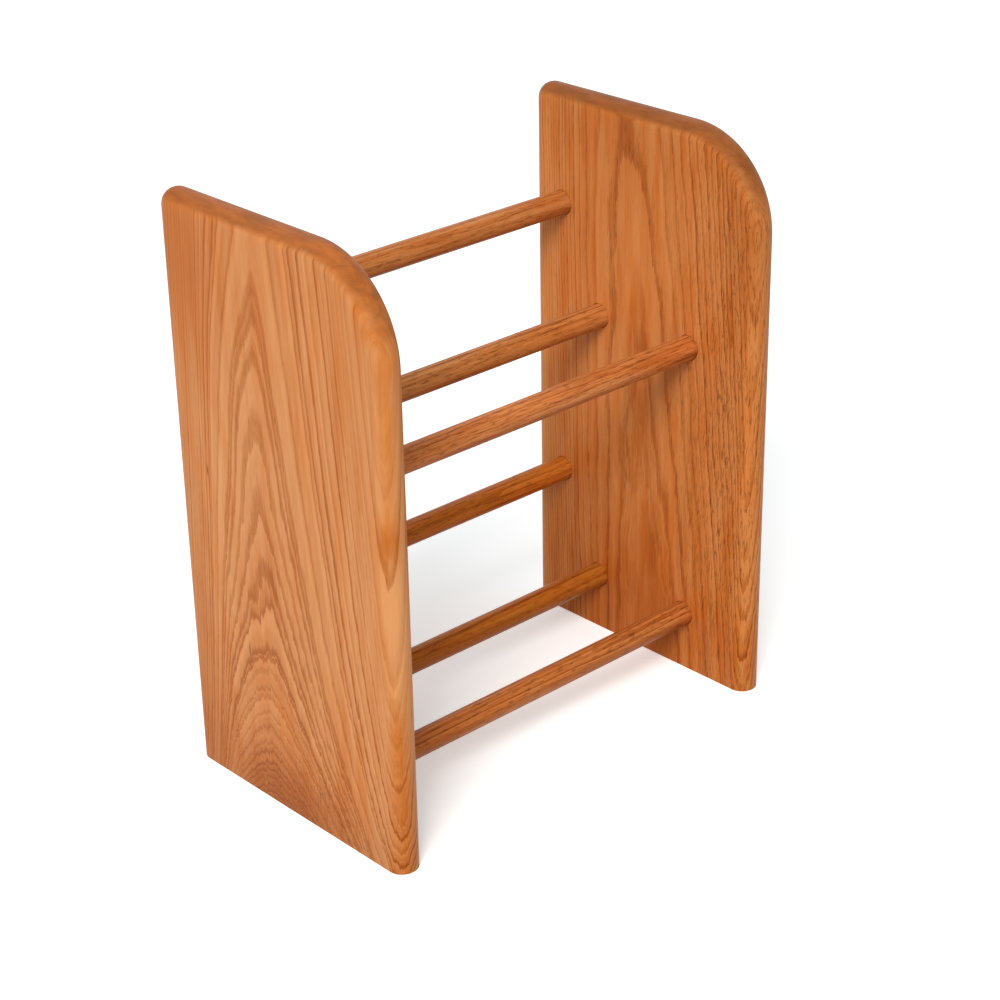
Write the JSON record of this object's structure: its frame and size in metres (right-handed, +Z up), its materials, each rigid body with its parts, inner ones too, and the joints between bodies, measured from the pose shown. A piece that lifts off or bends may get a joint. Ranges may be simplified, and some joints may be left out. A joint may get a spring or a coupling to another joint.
{
  "type": "cd dvd storage tower",
  "caption": "Open tabletop wooden tower for media cases: rounded side panels joined by round rods, which form rows whose contents stand on a shelf and lean on a backrest.",
  "frame": {"origin": "centre of the footprint, on the surface that the panels stand on", "axes": "+Z up; the front, with the wide rounded top corners, faces -Y; +X runs along the rods, to the right seen from the front"},
  "size_m": [0.3112, 0.1906, 0.3683],
  "materials": {
    "panel_oak": "flat-sawn oak board, honey stain under satin lacquer",
    "rod_oak": "round oak dowel, honey stain under satin lacquer"
  },
  "bodies": {
    "root": {"left_side_panel": "panel_oak", "right_side_panel": "panel_oak", "lower_backrest_rod": "rod_oak", "lower_rear_shelf_rod": "rod_oak", "lower_front_shelf_rod": "rod_oak", "upper_backrest_rod": "rod_oak", "upper_rear_shelf_rod": "rod_oak", "upper_front_shelf_rod": "rod_oak"}
  },
  "joints": []
}
